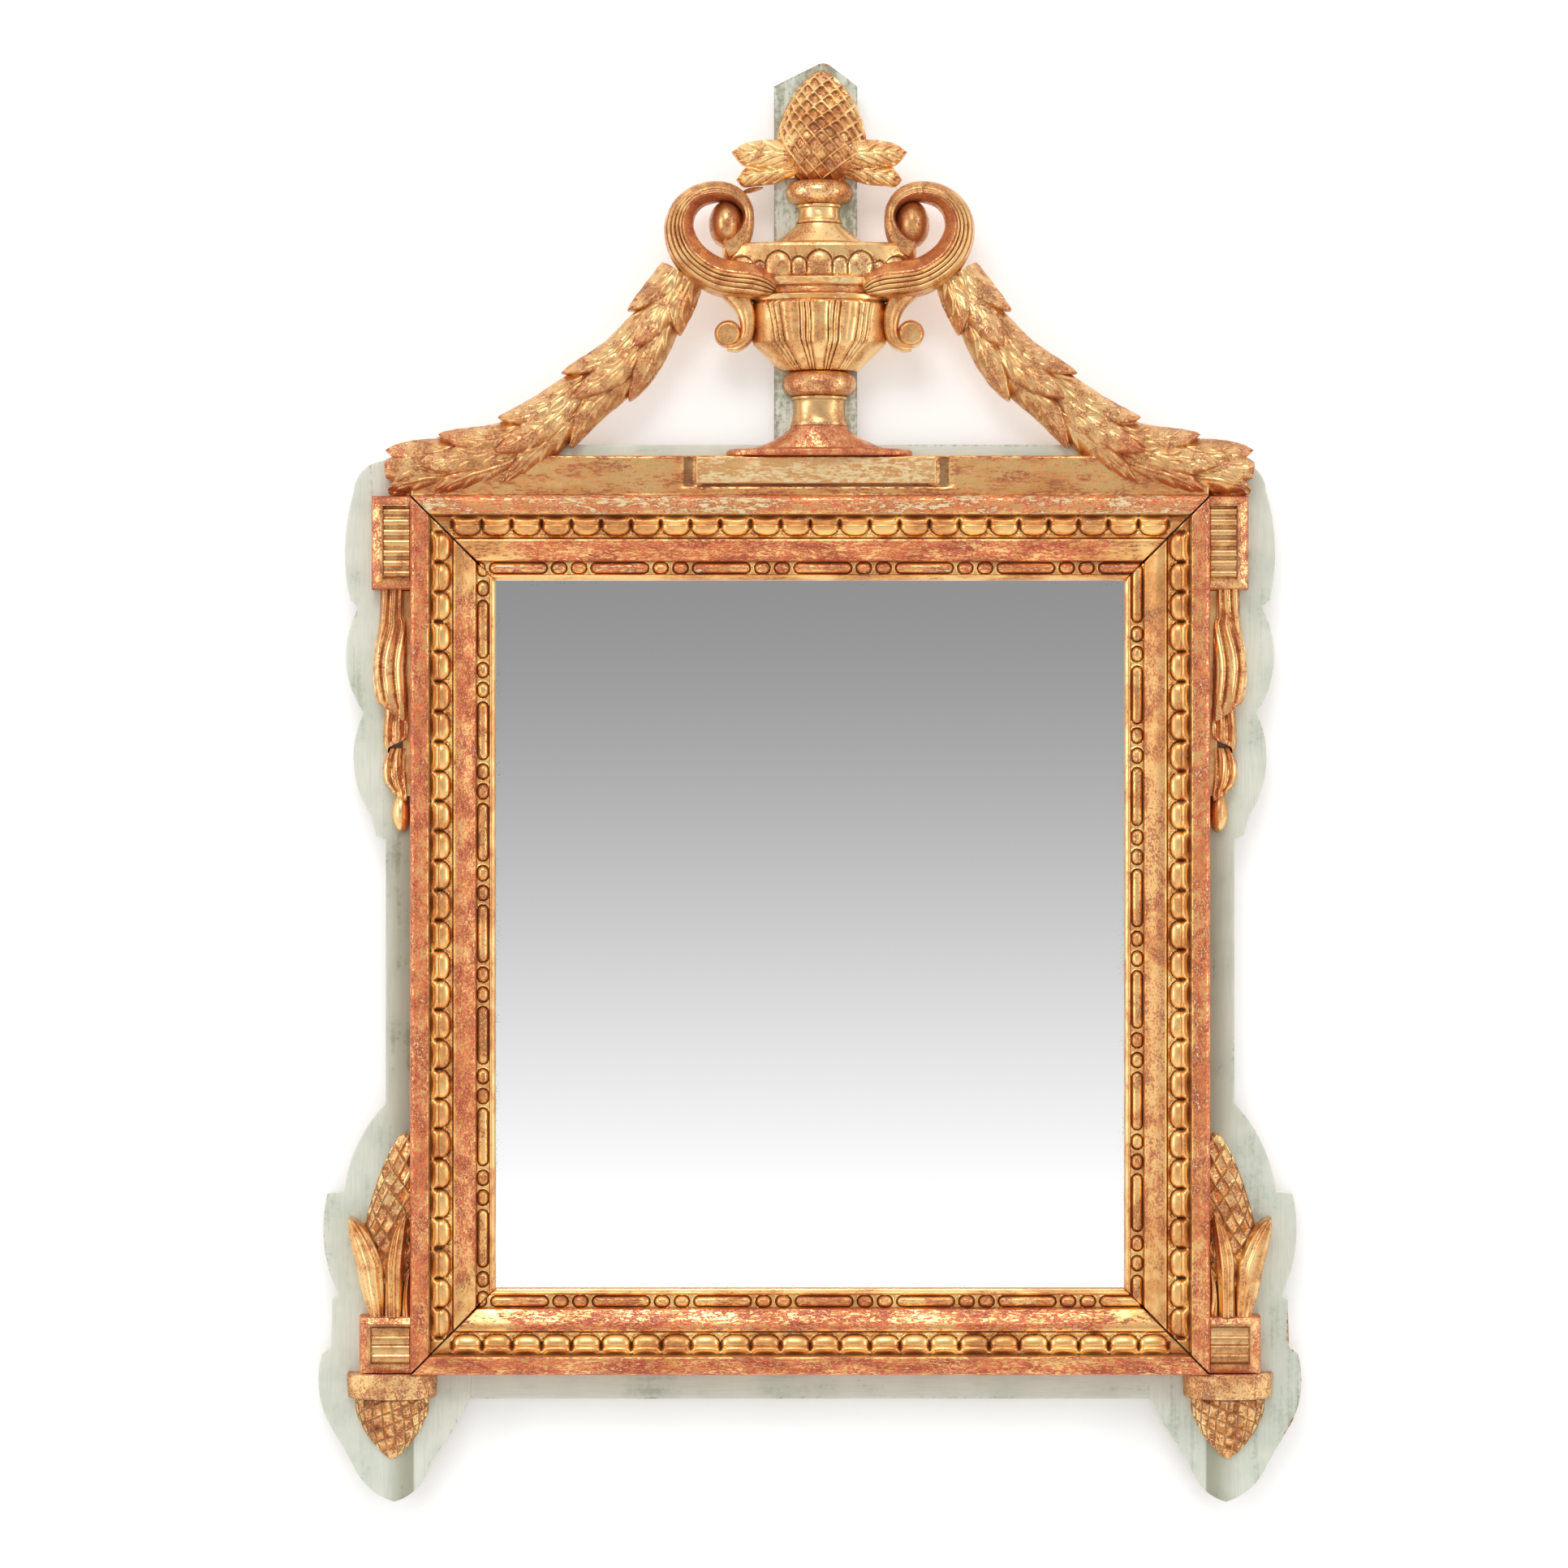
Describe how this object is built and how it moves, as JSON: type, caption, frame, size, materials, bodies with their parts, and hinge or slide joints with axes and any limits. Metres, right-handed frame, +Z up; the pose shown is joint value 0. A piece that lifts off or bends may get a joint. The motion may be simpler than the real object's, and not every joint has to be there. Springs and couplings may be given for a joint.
{
  "type": "painted wall mirror",
  "caption": "Neoclassical wall mirror: painted shaped ground, gilt carved frame, urn crest with garlands, pinecone feet and hanging rings behind.",
  "frame": {"origin": "on the wall plane, behind the middle of the glass: the rear face of the centre back plank", "axes": "+X to the viewer's right, +Z up, the front of the mirror faces -Y"},
  "size_m": [0.6554, 0.0576, 0.9589],
  "materials": {
    "painted_ground": "worn matt grey-green paint on wood, chipped at the edges",
    "gilt_carving": "worn water gilding over red bole on carved wood",
    "worn_gesso": "pale gesso with the gilding worn away",
    "mirror_glass": "silvered plate glass",
    "aged_pine": "bare oxidised pine",
    "wrought_iron": "dark forged iron nails",
    "hanger_steel": "plated steel, dulled"
  },
  "bodies": {
    "frame_body": {"ground_stile_left": "painted_ground", "ground_stile_right": "painted_ground", "ground_rail_top": "painted_ground", "ground_rail_bottom": "painted_ground", "crest_post": "painted_ground", "post_nails": "wrought_iron", "moulding_top": "gilt_carving", "moulding_bottom": "gilt_carving", "moulding_left": "gilt_carving", "moulding_right": "gilt_carving", "frieze_board": "gilt_carving", "frieze_tablet": "worn_gesso", "urn_foot": "gilt_carving", "urn_stem": "gilt_carving", "urn_bowl": "gilt_carving", "urn_rim": "gilt_carving", "urn_lid": "gilt_carving", "urn_neck": "gilt_carving", "urn_cone": "gilt_carving", "cone_leaves_left": "gilt_carving", "cone_leaves_right": "gilt_carving", "urn_handle_left": "gilt_carving", "urn_handle_right": "gilt_carving", "bowl_scroll_left": "gilt_carving", "bowl_scroll_right": "gilt_carving", "garland_left": "gilt_carving", "garland_right": "gilt_carving", "corner_block_top_left": "gilt_carving", "corner_block_top_right": "gilt_carving", "corner_block_bottom_left": "gilt_carving", "corner_block_bottom_right": "gilt_carving", "drapery_drop_left": "gilt_carving", "drapery_drop_right": "gilt_carving", "side_cone_left": "gilt_carving", "side_cone_right": "gilt_carving", "side_leaves_left": "gilt_carving", "side_leaves_right": "gilt_carving", "foot_band_left": "gilt_carving", "foot_band_right": "gilt_carving", "foot_cone_left": "gilt_carving", "foot_cone_right": "gilt_carving", "mirror_plate": "mirror_glass", "glazing_blocks": "aged_pine", "back_plank_left": "aged_pine", "back_plank_centre": "aged_pine", "back_plank_right": "aged_pine", "back_board_nails": "wrought_iron", "hanger_strap_left": "hanger_steel", "hanger_strap_right": "hanger_steel", "hanger_screws": "hanger_steel"},
    "ring_left_body": {"d_ring_left": "hanger_steel"},
    "ring_right_body": {"d_ring_right": "hanger_steel"}
  },
  "joints": [
    {"name": "ring_left_swing", "type": "hinge", "parent": "frame_body", "child": "ring_left_body", "pos_m": [-0.15, -0.00525, 0.3], "axis": [1, 0, 0], "range_deg": [0, 170]},
    {"name": "ring_right_swing", "type": "hinge", "parent": "frame_body", "child": "ring_right_body", "pos_m": [0.15, -0.00525, 0.3], "axis": [1, 0, 0], "range_deg": [0, 170]}
  ]
}
